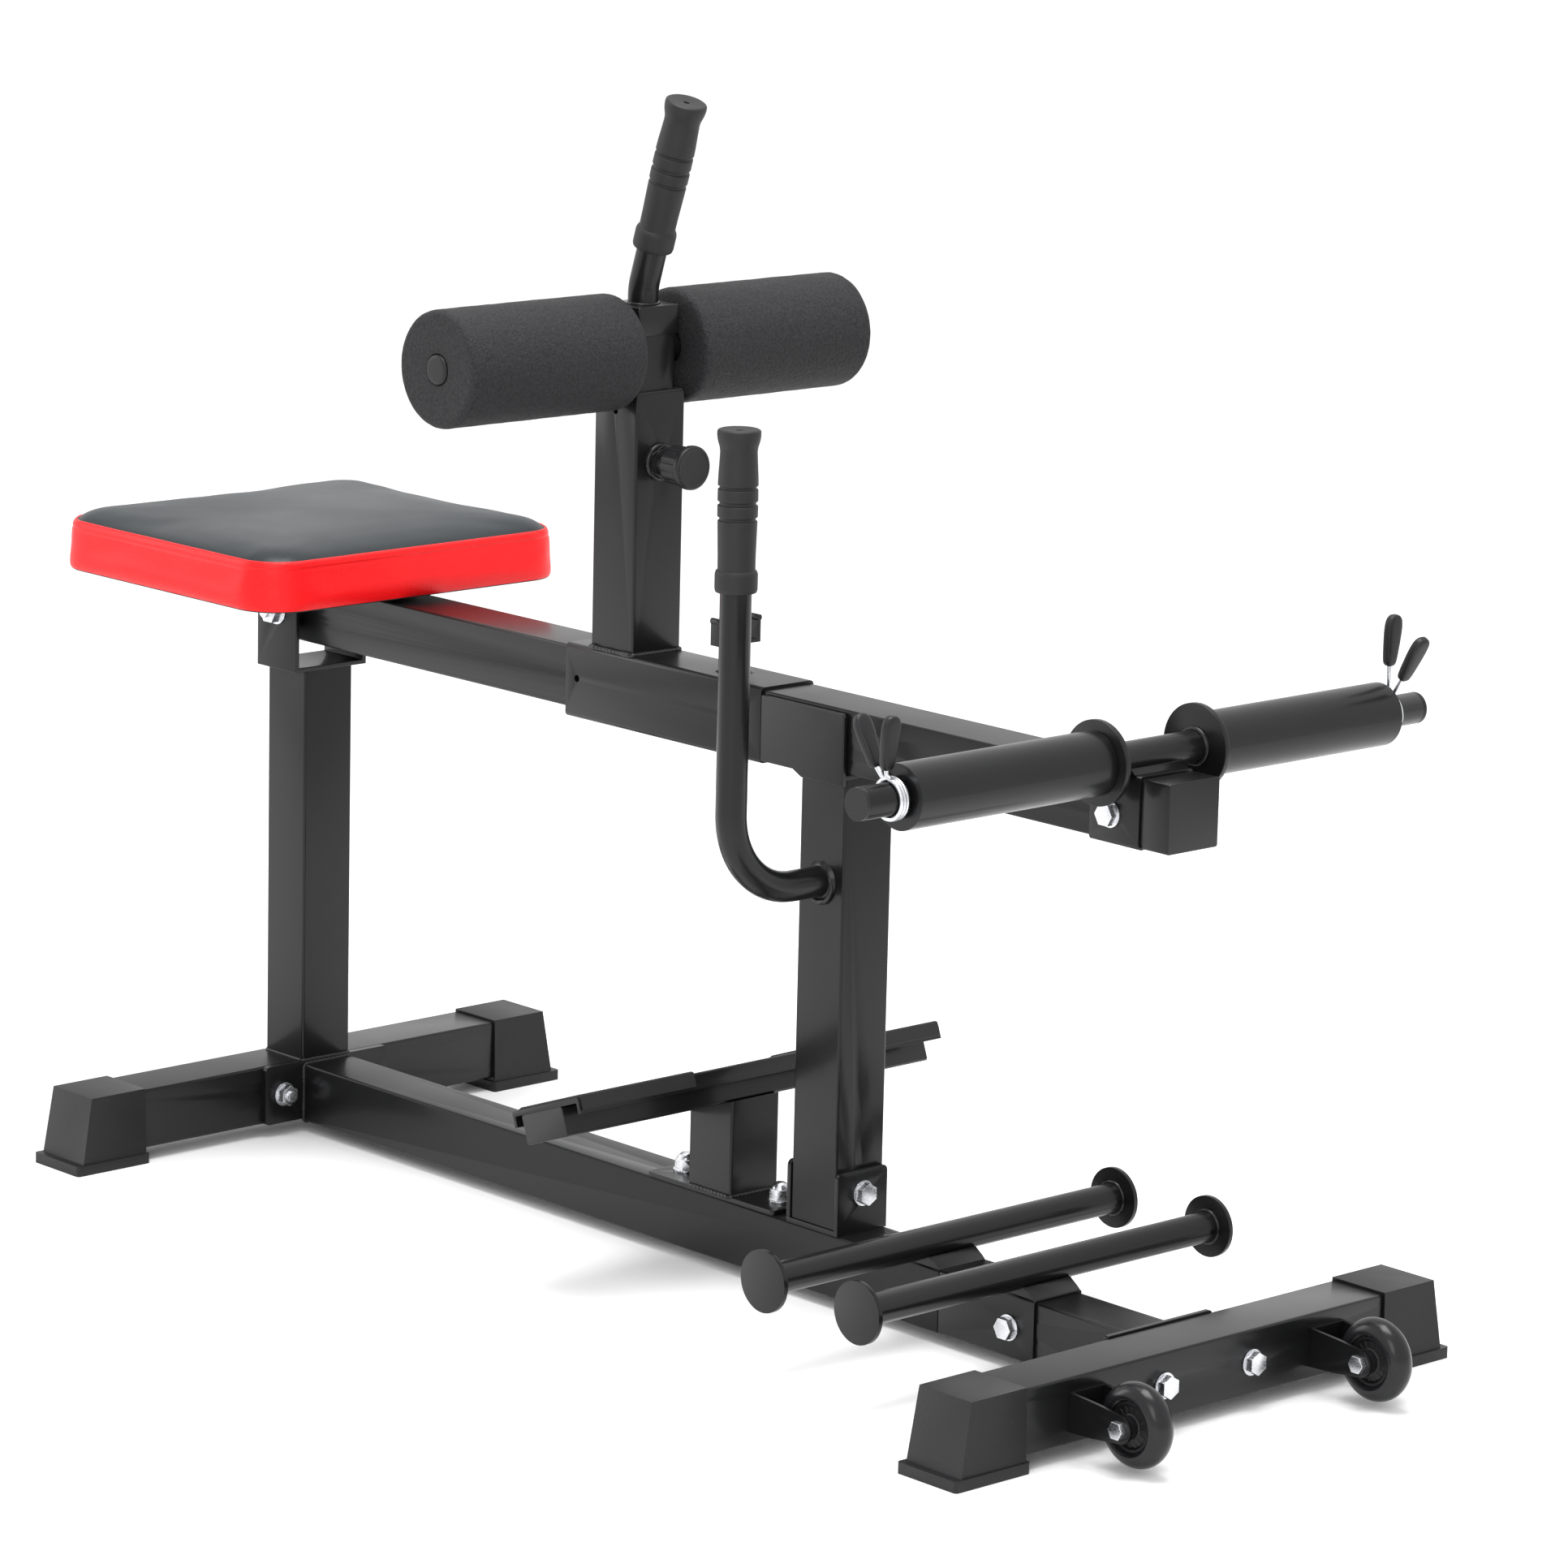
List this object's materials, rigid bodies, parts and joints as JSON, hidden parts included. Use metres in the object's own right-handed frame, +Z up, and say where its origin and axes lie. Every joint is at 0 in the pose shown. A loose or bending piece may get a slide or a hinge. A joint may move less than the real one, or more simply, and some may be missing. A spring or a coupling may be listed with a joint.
{
  "type": "seated calf raise machine",
  "caption": "Black steel seated calf raise bench with a pivoting weight lever, padded seat, foam knee rollers, tilted foot plate, hand grips and transport wheels.",
  "frame": {"origin": "on the floor, under the middle of the machine's length and width", "axes": "+X from the seat towards the weight bar and the transport wheels, +Y to the seated user's left, +Z up"},
  "size_m": [1.343, 0.602, 0.9518],
  "materials": {
    "black_paint": "satin black powder coat with a fine texture",
    "zinc": "bright zinc plating",
    "black_plastic": "matt moulded black plastic",
    "rubber": "soft matt black rubber",
    "foam": "fine-skinned black foam",
    "upholstery": "black leather-look cover with a red side band",
    "plywood": "bare plywood"
  },
  "bodies": {
    "frame": {"rear_cross_tube": "black_paint", "rear_feet": "black_plastic", "front_feet": "black_plastic", "rear_upright": "black_paint", "pivot_bracket": "black_paint", "pivot_bolt": "zinc", "base_beam": "black_paint", "joining_sleeve": "black_paint", "band_pegs": "black_paint", "stub_tube": "black_paint", "front_cross_tube": "black_paint", "frame_bolts": "zinc", "wheel_forks": "black_paint", "wheel_bolts": "zinc", "upright_bracket": "black_paint", "front_upright": "black_paint", "lever_saddle": "black_paint", "grab_handle": "black_paint", "grab_handle_grip": "rubber", "foot_post": "black_paint", "foot_post_bolts": "zinc", "foot_beam": "black_paint", "foot_plate": "black_paint", "foot_treads": "rubber"},
    "lever": {"lever_beam": "black_paint", "lever_front_cap": "black_paint", "lever_rear_plug": "black_plastic", "lever_bushings": "black_plastic", "post_clamp": "black_paint", "post_outer_tube": "black_paint", "post_bush": "black_plastic", "bar_cradle": "black_paint", "seat_plate": "black_paint", "seat_board": "plywood", "seat_cushion": "upholstery", "lever_bolts": "zinc", "horn_clamp": "black_paint", "weight_bar": "black_paint", "weight_bar_plugs": "black_plastic", "pin_housing": "black_paint"},
    "post": {"post_inner_tube": "black_paint", "post_cap": "black_paint", "roller_axle": "black_paint", "roller_plugs": "black_plastic", "top_handle": "black_paint", "top_handle_grip": "rubber"},
    "roller_left": {"roller_left": "foam"},
    "roller_right": {"roller_right": "foam"},
    "pin": {"pull_pin": "zinc"},
    "knob": {"pull_knob": "black_plastic"},
    "wheel_left": {"wheel_tyre_left": "rubber", "wheel_hub_left": "black_plastic"},
    "wheel_right": {"wheel_tyre_right": "rubber", "wheel_hub_right": "black_plastic"},
    "adapter_left": {"plate_adapter_left": "black_paint"},
    "adapter_right": {"plate_adapter_right": "black_paint"},
    "collar_left": {"collar_left": "zinc", "collar_grips_left": "black_plastic"},
    "collar_right": {"collar_right": "zinc", "collar_grips_right": "black_plastic"}
  },
  "joints": [
    {"name": "lever_pivot", "type": "hinge", "parent": "frame", "child": "lever", "pos_m": [-0.5145, 0, 0.465], "axis": [0, -1, 0], "range_deg": [0, 20]},
    {"name": "post_height", "type": "slide", "parent": "lever", "child": "post", "axis": [0, 0, 1], "range_m": [0, 0.12]},
    {"name": "roller_left_spin", "type": "hinge", "parent": "post", "child": "roller_left", "pos_m": [-0.0875, 0.121, 0.7415], "axis": [0, 1, 0], "continuous": true},
    {"name": "roller_right_spin", "type": "hinge", "parent": "post", "child": "roller_right", "pos_m": [-0.0875, -0.121, 0.7415], "axis": [0, 1, 0], "continuous": true},
    {"name": "pin_pull", "type": "slide", "parent": "lever", "child": "pin", "axis": [1, 0, 0], "range_m": [0, 0.013], "stiffness_N_per_m": 500, "springref_m": -0.01},
    {"name": "knob_turn", "type": "hinge", "parent": "pin", "child": "knob", "pos_m": [-0.0345, 0, 0.652], "axis": [1, 0, 0], "continuous": true},
    {"name": "wheel_left_spin", "type": "hinge", "parent": "frame", "child": "wheel_left", "pos_m": [0.6385, 0.131, 0.037], "axis": [0, 1, 0], "continuous": true},
    {"name": "wheel_right_spin", "type": "hinge", "parent": "frame", "child": "wheel_right", "pos_m": [0.6385, -0.131, 0.037], "axis": [0, 1, 0], "continuous": true},
    {"name": "adapter_left_spin", "type": "hinge", "parent": "lever", "child": "adapter_left", "pos_m": [0.4985, 0.157, 0.504], "axis": [0, 1, 0], "continuous": true},
    {"name": "adapter_right_spin", "type": "hinge", "parent": "lever", "child": "adapter_right", "pos_m": [0.4985, -0.157, 0.504], "axis": [0, 1, 0], "continuous": true},
    {"name": "collar_left_off", "type": "slide", "parent": "lever", "child": "collar_left", "axis": [0, 1, 0], "range_m": [0, 0.12]},
    {"name": "collar_right_off", "type": "slide", "parent": "lever", "child": "collar_right", "axis": [0, -1, 0], "range_m": [0, 0.12]}
  ]
}
